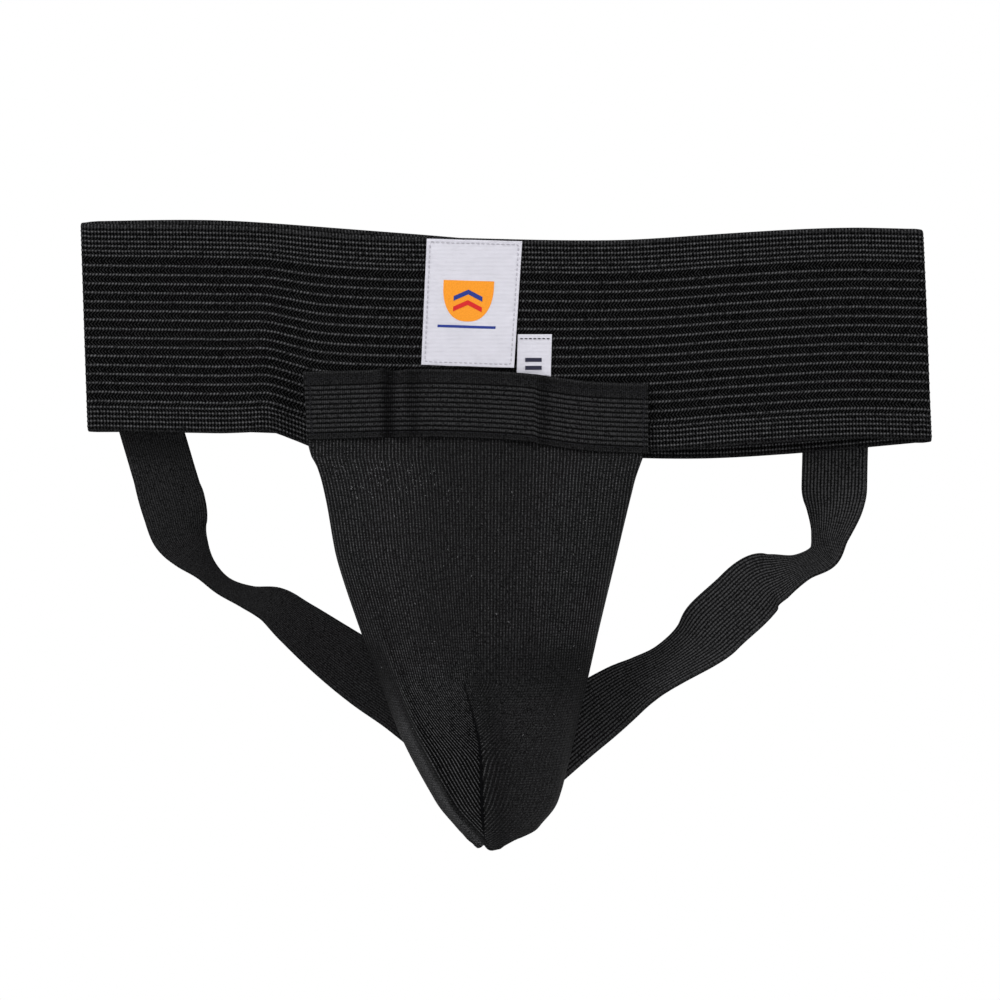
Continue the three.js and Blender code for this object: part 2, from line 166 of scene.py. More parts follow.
def set_weave(thing, pattern, ridge):
    """Give a mesh what the woven materials read: the pattern as its UV map, and the ridges' height."""
    mesh = thing.data
    corners = np.empty(len(mesh.loops), int)
    mesh.loops.foreach_get("vertex_index", corners)
    mesh.uv_layers.new(name="Weave").data.foreach_set("uv", pattern[corners].ravel())
    mesh.attributes.new("ridge", "FLOAT", "POINT").data.foreach_set("value", ridge.astype(np.float32))


def cloth(name, front, back, pattern, ridge=0.0):
    """Closed sheet between two grids of points, with a pattern in millimetres"""
    rows, columns = front.shape[:2]
    vertices = np.concatenate([front.reshape(-1, 3), back.reshape(-1, 3)])
    index = np.arange(rows * columns).reshape(rows, columns)
    other = index + rows * columns

    def quads(*corners):
        return grid(*(corner.ravel() for corner in corners))
    faces = np.concatenate([
        quads(index[:-1, :-1], index[:-1, 1:], index[1:, 1:], index[1:, :-1]),
        quads(other[:-1, :-1], other[1:, :-1], other[1:, 1:], other[:-1, 1:]),
        quads(index[:-1, 0], index[1:, 0], other[1:, 0], other[:-1, 0]),
        quads(index[1:, -1], index[:-1, -1], other[:-1, -1], other[1:, -1]),
        quads(index[0, 1:], index[0, :-1], other[0, :-1], other[0, 1:]),
        quads(index[-1, :-1], index[-1, 1:], other[-1, 1:], other[-1, :-1]),
    ])
    if volume(vertices, faces) < 0:
        faces = faces[:, ::-1]
    thing = new_object(name, vertices, faces.tolist())
    heights = np.broadcast_to(ridge, (rows, columns)).ravel()
    set_weave(thing, np.tile(pattern.reshape(-1, 2), (2, 1)), np.tile(heights, 2))
    return thing


def prism(name, front, back, smooth=True):
    """Solid between two equal outlines"""
    count = len(front)
    faces = [tuple(range(count)), tuple(range(2 * count - 1, count - 1, -1))]
    faces += [(i, i + count, (i + 1) % count + count, (i + 1) % count) for i in range(count)]
    return new_object(name, np.concatenate([front, back]), faces, smooth)


def rib_profile(samples, ribs, shape):
    """Places across an elastic with the ridge's height there: plain samples, then each rib's own shape"""
    for middle, reach in ribs:
        samples = samples + [(middle + reach * k, height) for k, height in shape]
    return np.array(sorted(samples))


def rounded(down, width, half, least, reach):
    """Half the thickness across an elastic, which falls to a least share of it at both edges"""
    edge = np.minimum(down, width - down)
    return half * np.minimum(1, least + (1 - least) * np.sqrt(edge / reach))


def ring_faces(first, rings, sides, closed=False):
    """Faces between rings of vertices, with flat ends unless the last ring joins the first"""
    faces = []
    for i in range(rings if closed else rings - 1):
        here, there = first + i * sides, first + (i + 1) % rings * sides
        for k in range(sides):
            other = (k + 1) % sides
            faces.append((here + k, here + other, there + other, there + k))
    if not closed:
        faces.append(tuple(first + k for k in reversed(range(sides))))
        faces.append(tuple(first + (rings - 1) * sides + k for k in range(sides)))
    return faces


def beads(name, starts, ends, out, radius, rings=5, sides=6):
    """Short threads, each a bead from a start to an end that stands up along out."""
    turns = np.linspace(0, 2 * math.pi, sides, endpoint=False)
    vertices, faces = [], []
    for start, end, up in zip(np.asarray(starts), np.asarray(ends), np.asarray(out)):
        along = end - start
        across = unit(np.cross(along, up))
        first = len(vertices)
        for i in range(rings):
            share = i / (rings - 1)
            swell = radius * max(math.sin(math.pi * (0.08 + 0.84 * share)) ** 0.6, 0.2)
            middle = start + along * share + up * (radius * 0.9 * math.sin(math.pi * share) - radius * 0.3)
            for turn in turns:
                vertices.append(middle + swell * (across * math.cos(turn) + up * math.sin(turn)))
        faces += ring_faces(first, rings, sides)
    return new_object(name, vertices, faces)


def stitch_line(name, route, out, pitch, radius, share):
    """Running stitches along a route of points, each a share of the pitch long"""
    route = np.asarray(route, float)
    out = np.broadcast_to(out, route.shape)
    walked = walk(route)
    count = max(1, int(walked[-1] / pitch))
    starts = (np.arange(count) + 0.5 * (1 - share)) * walked[-1] / count

    def at(distance, values):
        return grid(*(np.interp(distance, walked, column) for column in values.T))
    reach = share * walked[-1] / count
    return beads(name, at(starts, route), at(starts + reach, route), at(starts + reach / 2, out), radius)


def on_surface(surface, places):
    """Points and outward directions at [x, z] places, on a surface(x, z) that gives both for one place"""
    found = [surface(x, z) for x, z in places]
    return np.array([point for point, _ in found]), np.array([direction for _, direction in found])


def zigzag_line(name, start, end, width, pitch, surface, radius):
    """Zigzag stitches on a surface, from start to end as [x, z]"""
    start, end = np.array(start, float), np.array(end, float)
    run = end - start
    across = np.array([-run[1], run[0]]) / np.linalg.norm(run)
    count = max(2, int(round(np.linalg.norm(run) / pitch)))
    corners = [start + run * i / count + across * width * (0.5 if i % 2 else -0.5) for i in range(count + 1)]
    points, out = on_surface(surface, corners)
    return beads(name, points[:-1], points[1:], out[:-1], radius)


# Materials

class Nodes:
    """Short names for the nodes of one material"""

    def __init__(self, name):
        self.material = bpy.data.materials.new(name)
        self.material.use_nodes = True
        self.tree = self.material.node_tree
        self.shader = self.tree.nodes["Principled BSDF"]

    def node(self, kind, **settings):
        made = self.tree.nodes.new(kind)
        for key, value in settings.items():
            setattr(made, key, value)
        return made

    def link(self, source, target):
        self.tree.links.new(source, target)

    def math(self, operation, *values):
        made = self.node("ShaderNodeMath", operation=operation)
        for i, value in enumerate(values):
            if isinstance(value, (int, float)):
                made.inputs[i].default_value = value
            else:
                self.link(value, made.inputs[i])
        return made.outputs[0]

    def times(self, *values):
        return self.math("MULTIPLY", *values)

    def scaled(self, value, factor, offset):
        return self.math("MULTIPLY_ADD", value, factor, offset)

    def wave(self, value, pitch, sharpness=1.0):
        """0 to 1 and back, once each pitch; a high sharpness makes the peaks narrow."""
        turn = self.times(value, 2 * math.pi / pitch)
        raised = self.scaled(self.math("SINE", turn), 0.5, 0.5)
        return self.math("POWER", raised, sharpness)

    def noise(self, scale, detail=2.0):
        place = self.node("ShaderNodeTexCoord").outputs["Object"]
        made = self.node("ShaderNodeTexNoise")
        made.inputs["Scale"].default_value = scale
        made.inputs["Detail"].default_value = detail
        self.link(place, made.inputs["Vector"])
        return made.outputs["Fac"]

    def fuzz(self, scale, strength):
        """Fine irregularity around 1, for fibres that catch the light unevenly"""
        centred = self.math("SUBTRACT", self.noise(scale, 3), 0.5)
        return self.math("MAXIMUM", self.scaled(centred, strength, 1.0), 0.05)

    def pattern(self):
        """The two lengths along a cloth that its weave follows"""
        uv = self.node("ShaderNodeUVMap", uv_map="Weave")
        parts = self.node("ShaderNodeSeparateXYZ")
        self.link(uv.outputs["UV"], parts.inputs[0])
        return parts.outputs["X"], parts.outputs["Y"]

    def ridge(self):
        """Height of the rows and ribs, 0 to 1"""
        return self.node("ShaderNodeAttribute", attribute_name="ridge").outputs["Fac"]

    def colour(self, share, dark, light):
        """Mix two colours into the shader's base colour."""
        made = self.node("ShaderNodeMix", data_type="RGBA")
        self.link(share, made.inputs["Factor"])
        made.inputs["A"].default_value = (*dark, 1)
        made.inputs["B"].default_value = (*light, 1)
        self.link(made.outputs["Result"], self.shader.inputs["Base Color"])

    def bump(self, height, distance):
        made = self.node("ShaderNodeBump")
        made.inputs["Distance"].default_value = distance * MM
        self.link(height, made.inputs["Height"])
        self.link(made.outputs["Normal"], self.shader.inputs["Normal"])

    def finish(self, roughness, specular=0):
        self.shader.inputs["Roughness"].default_value = roughness
        self.shader.inputs["Specular IOR Level"].default_value = specular
        return self.material


def grey(value):
    """Black or grey cloth, slightly blue"""
    return (value, value, value * 1.04)


def band_material():
    """Woven elastic over a fine dark twill: rows of slanted light dashes, upright dots in the close rows"""
    m = Nodes("waistband_weave")
    u, v = m.pattern()
    from_middle = m.math("ABSOLUTE", m.math("SUBTRACT", v, WIDE_MIDDLE))
    wide = m.math("LESS_THAN", from_middle, WIDE_REACH)
    slant = m.times(m.times(wide, 0.45), v)
    dash = m.wave(m.math("ADD", slant, u), DASH, 1.7)
    strip = m.math("PINGPONG", m.math("SUBTRACT", v, WIDE_ROWS[0]), ROW_PITCH / 2)
    chevron = m.wave(m.scaled(strip, 0.9, u), DASH, 3)
    cord = m.times(m.ridge(), m.scaled(dash, 0.88, 0.12))
    ground = m.times(chevron, 0.15)
    share = m.times(m.math("MAXIMUM", cord, ground), m.fuzz(1500, 5))
    m.colour(share, grey(0.0005), grey(0.088))
    m.bump(m.math("MAXIMUM", cord, m.times(chevron, 0.6)), 0.2)
    return m.finish(0.8)


def ribbed_material():
    """Ribbed elastic: soft ribs of small upright stitches"""
    m = Nodes("mouth_weave")
    u, _ = m.pattern()
    stitch = m.wave(u, 0.72, 0.8)
    # The ridge is lower in the pleats' folds, so the ribs there take painted shade.
    rib = m.scaled(m.math("POWER", m.ridge(), 1.8), 0.9, 0.03)
    share = m.times(rib, m.fuzz(1900, 5))
    share = m.times(share, m.scaled(stitch, 0.7, 0.4))
    m.colour(share, grey(0.0012), grey(0.032))
    m.bump(m.math("ADD", m.times(stitch, 0.4), m.noise(1600)), 0.14)
    return m.finish(0.8)


def knit_material(name, light, pitch=1.0):
    """Rib knit: ribs of small loops, a pitch apart

    The pattern's u counts ribs, its v is a length. The ridge is the ribs' depth, and 0 is smooth knit, which is
    painted lighter as a highlight.
    """
    m = Nodes(name)
    u, v = m.pattern()
    depth = m.ridge()
    fullness = m.math("POWER", depth, 11)
    hollow = m.math("SUBTRACT", 1.0, m.wave(u, 1.0, m.scaled(fullness, 5, 2.5)))
    rib = m.math("SUBTRACT", 1.0, m.times(hollow, depth))
    loop = m.wave(v, pitch, 0.7)
    fuzz = m.fuzz(2300, 8)
    # Smooth knit is coloured lighter: a painted highlight, which shows on the pouch's left edge over the cup.
    smooth = m.math("POWER", m.math("SUBTRACT", 1.0, depth), 8)
    weight = m.math("ADD", m.scaled(fullness, 0.88, 0.12), m.times(smooth, 0.14))
    share = m.times(m.scaled(loop, 0.6, 0.6), m.times(rib, weight))
    m.colour(m.times(share, fuzz), grey(0.0015), light)
    m.bump(m.math("ADD", rib, m.times(loop, 0.1)), 0.3)
    return m.finish(0.7, 0.01)


def plush_material(name, light, ribs):
    """Strap elastic: ribs along it on one face, a short plush pile on the other"""
    m = Nodes(name)
    u, _ = m.pattern()
    cross = m.wave(u, 1.15, 0.8)
    pile = m.noise(1500, 3)
    share = m.times(m.scaled(m.math("POWER", m.ridge(), 2), 0.95, 0.01), m.fuzz(2200, 6))
    if ribs:
        share = m.times(share, m.scaled(cross, 0.6, 0.6))
    m.colour(share, grey(0.0015), light)
    m.bump(m.math("ADD", pile, m.times(cross, 0.3 if ribs else 0.1)), 0.12)
    return m.finish(0.8)


def tinted(colour, factor):
    return tuple(factor * c for c in colour)


def satin_material(name, tone):
    """Woven label satin with a fine grain and soft puckers"""
    m = Nodes(name)
    u, v = m.pattern()
    grain = m.times(m.wave(u, 0.34), m.wave(v, 0.5))
    share = m.scaled(m.noise(160, 3), 0.5, m.times(grain, 0.35))
    m.colour(share, tinted(tone, 0.84), tinted(tone, 1.12))
    m.bump(m.math("ADD", grain, m.times(m.noise(220, 1), 2.5)), 0.2)
    return m.finish(0.48, 0.4)


def thread_material(name, colour, roughness=0.55):
    m = Nodes(name)
    m.colour(m.noise(2500, 1), tinted(colour, 0.6), colour)
    m.bump(m.noise(4000, 1), 0.03)
    return m.finish(roughness)


def plastic_material():
    """Moulded polypropylene with a faint orange-peel and scuffs"""
    m = Nodes("cup_plastic")
    scuff = m.noise(90, 4)
    m.colour(scuff, (0.42, 0.42, 0.395), (0.5, 0.5, 0.48))
    m.bump(m.math("ADD", m.noise(700, 2), m.times(scuff, 0.5)), 0.05)
    return m.finish(0.38, 0.45)


def soft_edge_material():
    m = Nodes("cup_rim_rubber")
    m.colour(m.noise(300, 3), (0.016, 0.016, 0.018), (0.035, 0.035, 0.038))
    m.bump(m.noise(1200, 2), 0.04)
    return m.finish(0.6, 0.3)


def place(thing, material, slot, body, replaces=()):
    """Give a piece its material, the body that it rides on and the nodes that it stands for. The slot is not
    used.
    """
    thing.data.materials.append(material)
    if body:
        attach(thing, body)
    if replaces:
        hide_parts(*replaces)
    return thing


BLACK_THREAD = thread_material("black_thread", (0.016, 0.016, 0.018))
WHITE_THREAD = thread_material("white_thread", (0.5, 0.49, 0.54))


def sew(line, node, body="waistband"):
    """Black stitches that stand for a node"""
    place(line, BLACK_THREAD, "black_thread", body, [node])


# Waistband

PLY_STATIONS = np.linspace(-153, 153, 35)
FRONT_CUTS = cuts("waistband", X, PLY_STATIONS, lambda p: p[:, Y] < 0)
BACK_CUTS = cuts("waistband", X, PLY_STATIONS, lambda p: p[:, Y] > 0)
front_top = curve(PLY_STATIONS, FRONT_CUTS[:, 6])
front_bottom = curve(PLY_STATIONS, FRONT_CUTS[:, 3])
back_top = curve(PLY_STATIONS, BACK_CUTS[:, 6])
back_bottom = curve(PLY_STATIONS, BACK_CUTS[:, 3])
half_depth = curve(PLY_STATIONS, (BACK_CUTS[:, 2] + BACK_CUTS[:, 5]) / 2)

LAP = 14  # overlap of the band's ends at the middle of the back


def band_path():
    """Stations round the waist, as x, y, top edge, bottom edge and lift; the last end laps over the first."""
    def side(start, end, step, which):
        count = int(abs(end - start) / step)
        x = np.linspace(start, end, count, endpoint=False)
        if which < 0:
            return grid(x, -half_depth(x), front_top(x), front_bottom(x), 0)
        lift = (BAND_THICKNESS + 0.15) * ramp(x, LAP / 2 + 8, LAP / 2) * (start == BAND_REACH)
        top = back_top(x) + 0.7 * hump(x, -116, 34)
        return grid(x, half_depth(x), top, back_bottom(x), lift)

    def fold(which):
        turn = np.linspace(0, math.pi, 14, endpoint=False)
        front = turn / math.pi if which < 0 else 1 - turn / math.pi  # only the left fold goes to the front
        x = which * BAND_REACH
        top = back_top(x) * (1 - front) + front_top(x) * front
        bottom = back_bottom(x) * (1 - front) + front_bottom(x) * front
        return grid(x + which * FOLD_RADIUS * np.sin(turn), -which * FOLD_RADIUS * np.cos(turn), top, bottom, 0)
    return np.concatenate([
        side(LAP / 2, -BAND_REACH, 2.8, 1), fold(-1), side(-BAND_REACH, BAND_REACH, 2.6, -1), fold(1),
        side(BAND_REACH, -LAP / 2, 2.8, 1),
    ])


def band_rows():
    """Lengths below the top edge with the ridge's height there, 0 to 1"""
    edges = [(0, 0.3), (0.5, 0.4), (1.4, 0.3), (2, 0), (BAND_WIDTH - 0.5, 0.2), (BAND_WIDTH, 0.1)]
    rows = [(row, 0.5 if row in CLOSE_ROWS else 0.58) for row in BAND_ROWS]
    return rib_profile(edges, rows, ((-1, 0), (-0.45, 0.6), (0, 1), (0.45, 0.6), (1, 0)))


def band_drape(x, y, down):
    """Lift of the soft folds: a valley beside the pouch in front, and long shallow waves all round"""
    share = down / BAND_WIDTH
    valley = -3.4 * hump(x, -80.5, 5.5) * ramp(share, 0.25, 0.95) - 1.2 * hump(x, -79, 8)
    valley = valley + 1.3 * hump(x, -93, 9) * ramp(share, 0.2, 0.8)
    waves = 0.5 * np.sin(x / 17 + 2 * share) + 0.35 * np.sin(x / 7.3 - 3 * share)
    quiet = 1 - ramp(x, -74, -66) * (1 - ramp(x, 46, 58))
    return np.where(y < 0, valley + waves * quiet, 0.4 * waves)


def make_waistband():
    path, rows = band_path(), band_rows()
    walked = walk(path[:, :2])
    along = unit(np.gradient(path[:, :2], axis=0))
    x, y, top, bottom, lap = path.T
    down, ridge = rows.T[..., None]
    share = down / BAND_WIDTH
    z = top + (bottom - top) * share
    half = rounded(down, BAND_WIDTH, BAND_THICKNESS / 2, 0.45, 1.2)
    drape = band_drape(x, y, down) + lap
    # The side folds lie a little further out than they would if stretched
    spare = (0.5 + 1.2 * share) * ramp(x, 100, 158) - 0.5 * ramp(x, -100, -158)

    def layer(side):
        offset = side * half + drape + (0.16 * ridge if side > 0 else -0.08 * ridge)
        return grid(x + along[:, 1] * offset - BAND_LEAN * z + spare, y - along[:, 0] * offset, z)
    band = cloth("waistband_elastic", layer(1), layer(-1), grid(walked, down), ridge)
    place(band, band_material(), "waistband_elastic", "waistband", ["waistband"])


def back_face(x, z):
    """Depth of the back ply's outside"""
    return half_depth(x + BAND_LEAN * z) + BAND_THICKNESS / 2


def back_surface(lift):
    """Points and outward directions over the back ply, for the stitches there"""
    return lambda x, z: (np.array([x, back_face(x, z) + lift, z]), BACK)


def make_join_stitches():
    for name, x in (("left", -5), ("right", 5)):
        line = zigzag_line(f"join_stitches_{name}", (x, back_top(0) - 2), (x, back_bottom(0) + 2), 1.8, 1.3,
                           back_surface(BAND_THICKNESS + 0.2), 0.22)
        sew(line, f"waistband_join_stitch_{name}")


make_waistband()
make_join_stitches()


# Pouch

KNIT_TOP = -42.4  # highest section of the knit's solid
HEIGHTS = np.concatenate([np.linspace(-190.2, -183, 5), np.linspace(-180, -56, 22),
                          np.linspace(-50, KNIT_TOP, 4)])
POUCH_CUTS = cuts("pouch_front", Z, HEIGHTS)
POUCH_MOUTH = -33  # the knit starts behind the mouth elastic
POUCH_TIP = low_high("pouch_front")[0][Z]
POUCH_BASE = low_high("pouch_front")[1][Y]  # depth of the knit's flat back
bare_half = curve(HEIGHTS, (POUCH_CUTS[:, 4] - POUCH_CUTS[:, 1]) / 2)
pouch_middle = curve(HEIGHTS, (POUCH_CUTS[:, 4] + POUCH_CUTS[:, 1]) / 2)
pouch_rise = curve(HEIGHTS, POUCH_BASE - POUCH_CUTS[:, 2])
DART_CUTS = cuts("pouch_dart_seam", Z, np.linspace(-185.5, -127.6, 16))
dart_x = curve(DART_CUTS[:, 0], (DART_CUTS[:, 1] + DART_CUTS[:, 4]) / 2)
# Where the cup's edge shows through the knit on the left, as a share of the half width
cup_edge = curve([-190, -176, -138, -120, -74, -48], [-0.9, -0.77, -0.75, -0.79, -0.92, -0.97])
RIB = 1.3  # spacing of the knit's ribs
KNIT_THICKNESS = 0.9
DART_TOP = -125  # below it the ribs run parallel to the pouch's edges, into the dart


def pouch_half(z):
    """Half width of the knit, which wraps round the bound edges and is blunt at the tip"""
    return bare_half(z) + 1.1 + 2.2 * hump(z, -188, 3.2)


def pouch_left(z):
    return pouch_middle(z) - pouch_half(z)


def pouch_right(z):
    return pouch_middle(z) + pouch_half(z)


def pouch_crown(z):
    """Height of the dome at its middle; it flattens out behind the mouth elastic."""
    return pouch_rise(z) * np.clip((POUCH_MOUTH - z) / (POUCH_MOUTH - KNIT_TOP), 0, 1) ** 1.5


def arch(t):
    """Section of the dome from -1 at its left to 1 at its right, squarer than a circle"""
    return (1 - np.clip(np.abs(t), 0, 1) ** SQUARENESS) ** (1 / SQUARENESS)


def even_arch(turn):
    """Places from -1 to 1 that lie evenly along the arch, for turns from 0 to pi"""
    return -np.sign(np.cos(turn)) * np.abs(np.cos(turn)) ** (2 / SQUARENESS)


def pouch_y(x, z):
    """Depth of the pouch's outside: the dome, the cup's edge under the knit, the dart and soft waves"""
    half = pouch_half(z)
    t = (x - pouch_middle(z)) / half
    dome = pouch_crown(z) * arch(t)
    low = ramp(z, -60, -100)
    reach = 1.5 / half
    edge = 1.9 * hump(t, cup_edge(z), reach) - 1.5 * hump(t, cup_edge(z) + 2.8 * reach, 2 * reach)
    edge = edge + 0.7 * hump(t, 0.9, 1.2 * reach)
    dart = 0.4 * hump(x, dart_x(z), 0.9) + 1.3 * hump(x, dart_x(z), 3.5)
    dart = -dart * ramp(z, -122, -150)
    wave = 0.35 * np.sin(x / 11 + z / 37) * np.sin(z / 19 - x / 31) * arch(t)
    return POUCH_BASE - dome - low * edge - dart - wave


def pouch_at(lift):
    """Points and outward directions on the pouch, for what is sewn to it or lies on it"""
    def at(x, z):
        slope = [pouch_y(x + 0.4, z) - pouch_y(x - 0.4, z), pouch_y(x, z + 0.4) - pouch_y(x, z - 0.4)]
        out = unit(np.array([slope[0] / 0.8, -1, slope[1] / 0.8]))
        return np.array([x, float(pouch_y(x, z)), z]) + lift * out, out
    return at


def grid_normals(points):
    """Unit normals of a grid of points, all to the side that faces front in the middle"""
    down, across = np.gradient(points, axis=0), np.gradient(points, axis=1)
    normals = np.cross(down, across)
    normals /= np.maximum(np.linalg.norm(normals, axis=2), 1e-9)[..., None]
    return normals * np.sign(-normals[len(points) // 2, points.shape[1] // 2, Y])


def ribs_at(x, z):
    """Count of ribs: they lean with the edges, and near the tip they run into the dart from both sides"""
    upper = np.maximum(z, DART_TOP)
    left = x < dart_x(z)
    x = x - np.where(left, pouch_left(z) - pouch_left(upper), pouch_right(z) - pouch_right(upper))
    t = (x - pouch_middle(upper)) / pouch_half(upper)
    lean = (pouch_left(upper) - pouch_left(KNIT_TOP)) * np.clip(-t, 0, 1) ** 0.8
    lean = lean + 0.6 * (pouch_right(upper) - pouch_right(KNIT_TOP)) * np.clip(t, 0, 1) ** 1.5
    wider = 1 - 0.38 * ramp(z, DART_TOP, -156)
    right_start = 0.4 * pouch_right(DART_TOP) + 0.6 * pouch_right(KNIT_TOP)
    start = np.where(left, pouch_left(KNIT_TOP), right_start)
    return ((x - lean - start) * wider + start) / RIB


def rib_depth(x, z):
    """How deep the ribs look: shallow on the stretched knit, deep beside the dart, none on the smooth edges. A
    strip near the left edge has no ribs, which paints a highlight there.
    """
    low = ramp(z, -105, -145)
    from_left = x - pouch_left(z)
    # Painted highlight: the ribs fade out in a strip about 4 mm in from the left edge, where the knit bends
    # over the cup's edge, and smooth knit is coloured lighter.
    left = 0.22 * (1 - hump(from_left, 4.4, 2.6)) + 0.78 * ramp(from_left, 5, 8.5)
    right = hump(x, dart_x(z), 9)
    side = 0.88 - 0.06 * ramp(np.abs(x - pouch_middle(z)), 30, 12)
    return np.clip(side * (1 - low) + low * np.where(x < dart_x(z), left, 0.3 + 0.6 * right), 0, 1)


def make_pouch(edges):
    """The knit over the cup, with a blunt tip that the dart divides"""
    down = np.linspace(0, 1, 190)[:, None]
    t = even_arch(math.pi * np.linspace(0, 1, 200)[None])
    z = POUCH_MOUTH + (POUCH_TIP - POUCH_MOUTH) * down
    x = pouch_middle(z) + t * pouch_half(z) - 2.3 * ramp(z, -47, -36) * np.clip(-t, 0, 1) ** 2
    z = np.broadcast_to(z, x.shape)
    aside = x - dart_x(z)
    lobes = 1.1 * ramp(aside, 0.5, -0.5) + 1.2 * hump(aside, 0, 1.1) + 0.28 * np.clip(np.abs(aside) - 3, 0, 9)
    z = z + lobes * ramp(z, -182, POUCH_TIP)
    outside = grid(x, pouch_y(x, z), z)
    inside = outside - KNIT_THICKNESS * grid_normals(outside)
    inside[..., Y] = np.minimum(inside[..., Y], POUCH_BASE + 0.35)
    knit = cloth("pouch_knit", outside, inside, grid(ribs_at(x, z), -z), rib_depth(x, z))
    place(knit, knit_material("pouch_rib_knit", grey(0.1)), "pouch_knit", None, ["pouch_front"])
    bend_at_mouth(knit)


def bend_at_mouth(thing):
    """Bake the cloth's placement into its mesh."""
    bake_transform(thing)


def tube(name, centres, across, out, half_width, half_height, sides=12, closed=False):
    """Rounded band along a row of centres"""
    turns = np.linspace(0, 2 * math.pi, sides, endpoint=False)
    out = np.broadcast_to(out, centres.shape)
    rings = (centres[:, None] + half_width * across[:, None] * np.cos(turns)[None, :, None]
             + half_height * out[:, None] * np.sin(turns)[None, :, None])
    count = len(centres)
    thing = new_object(name, rings.reshape(-1, 3), ring_faces(0, count, sides, closed))
    pattern = grid(np.repeat(walk(centres), sides), np.tile(turns * half_width, count))
    set_weave(thing, pattern, np.full(len(pattern), 0.5))
    return thing


def make_pouch_edges():
    """Bound edges that show beside the knit as a narrow roll"""
    material = knit_material("pouch_overlock", grey(0.11), 0.9)
    heights = np.concatenate([np.linspace(-182.5, -176, 8), np.linspace(-174, -43, 90)])
    edges = []
    for side in ("left", "right"):
        node = f"pouch_edge_binding_{side}"
        found = cuts(node, Z, heights)
        z = np.append(found[:, 0], -38)  # the last place is behind the mouth elastic
        x = (found[:, 1] + found[:, 4]) / 2
        x = np.convolve(np.pad(np.append(x, x[-1]), 2, mode="edge"), np.ones(5) / 5, "valid")
        x = np.clip(x + (0.5 if side == "left" else -0.5), pouch_left(z) + 1.4, pouch_right(z) - 1.4)
        centres = grid(x, POUCH_BASE + 0.75, z)
        along = unit(np.gradient(centres, axis=0))
        thin = np.clip((z + 184) / 10, 0.3, 1)[:, None]
        edge = tube(f"pouch_edge_{side}", centres, np.cross(along, FRONT) * thin, FRONT * thin, 0.7, 0.9)
        place(edge, material, "pouch_knit", None, [node])
        bend_at_mouth(edge)
        edges.append(edge)
    return edges


def make_lining():
    low, high = low_high("pouch_lining")
    top = high[Z]
    z = np.linspace(top, POUCH_TIP + 3.5, 150)[:, None]
    t = np.linspace(-1, 1, 110)[None]
    x = pouch_middle(z) + t * (bare_half(z) - 0.2)
    slack = 0.5 * np.sin(x / 13 + z / 21) * (1 - t ** 2)
    slack = slack * ramp(z, top, top - 25) * ramp(z, POUCH_TIP, POUCH_TIP + 50)
    face, back = (grid(x, depth + slack, z) for depth in (low[Y], high[Y]))
    lining = cloth("pouch_lining_knit", face, back, grid(x / 1.1, -z), 0.5)
    place(lining, knit_material("lining_knit", grey(0.11), 0.9), "lining_knit", "pouch", ["pouch_lining"])


def make_dart():
    """Thread along the bottom of the dart's fold"""
    count = 90
    centres, out = on_surface(pouch_at(0.35), [(dart_x(z), z) for z in np.linspace(-126, -186, count)])
    across = np.cross(unit(np.gradient(centres, axis=0)), out)
    index = np.arange(count)
    thin = np.clip(np.minimum(index / 50, index[::-1] / 12), 0.15, 1)[:, None]
    thread = tube("pouch_dart_thread", centres, across * thin, out * thin, 0.5, 0.3)
    material = thread_material("dart_thread", (0.004, 0.004, 0.0045))
    place(thread, material, "black_thread", "pouch", ["pouch_dart_seam"])


make_pouch(make_pouch_edges())
make_lining()
make_dart()


# Elastic across the pouch's mouth

MOUTH_LOW, MOUTH_HIGH = low_high("mouth_elastic")
MOUTH_STATIONS = np.linspace(MOUTH_LOW[0] + 2.5, MOUTH_HIGH[0] - 1, 14)
MOUTH_CUTS = cuts("mouth_elastic", X, MOUTH_STATIONS)
mouth_top = curve(MOUTH_STATIONS, MOUTH_CUTS[:, 6])
MOUTH_WIDTH = float(np.median(MOUTH_CUTS[:, 6] - MOUTH_CUTS[:, 3]))
MOUTH_RIB = 0.89  # half a rib's width
MOUTH_RIBS = [6.2 + 2 * MOUTH_RIB * i for i in range(10)]
PLEATS = [-44, -34.5]


def mouth_point(x, down):
    """Middle of the elastic at a distance under its top edge, bulging over the pouch's top"""
    z = mouth_top(x) - down - 0.6 * ramp(x, 10.5, 13) * ramp(down, 0, 3)
    z = z + (0.7 * hump(x, -46.5, 2) - 0.5 * hump(x, -41, 2.5)) * ramp(down, 9, 0)
    t = (x - pouch_middle(z)) / (pouch_half(z) + 3)
    lift = (0.9 * ramp(z, -22, -33) + pouch_crown(z)) * np.sqrt(np.clip(1 - t * t, 0, 1))
    dent = sum(1.3 * hump(x, pleat, 2.0) - 0.9 * hump(x, pleat - 4.2, 2.4) for pleat in PLEATS)
    step = 0.9 * ramp(x, 13.2, 11.7) * hump(x, 9, 7) - 0.5 * hump(x, 17, 3)
    y = (MOUTH_LOW[1] + MOUTH_HIGH[1]) / 2 - lift + dent - step
    return x, y, z


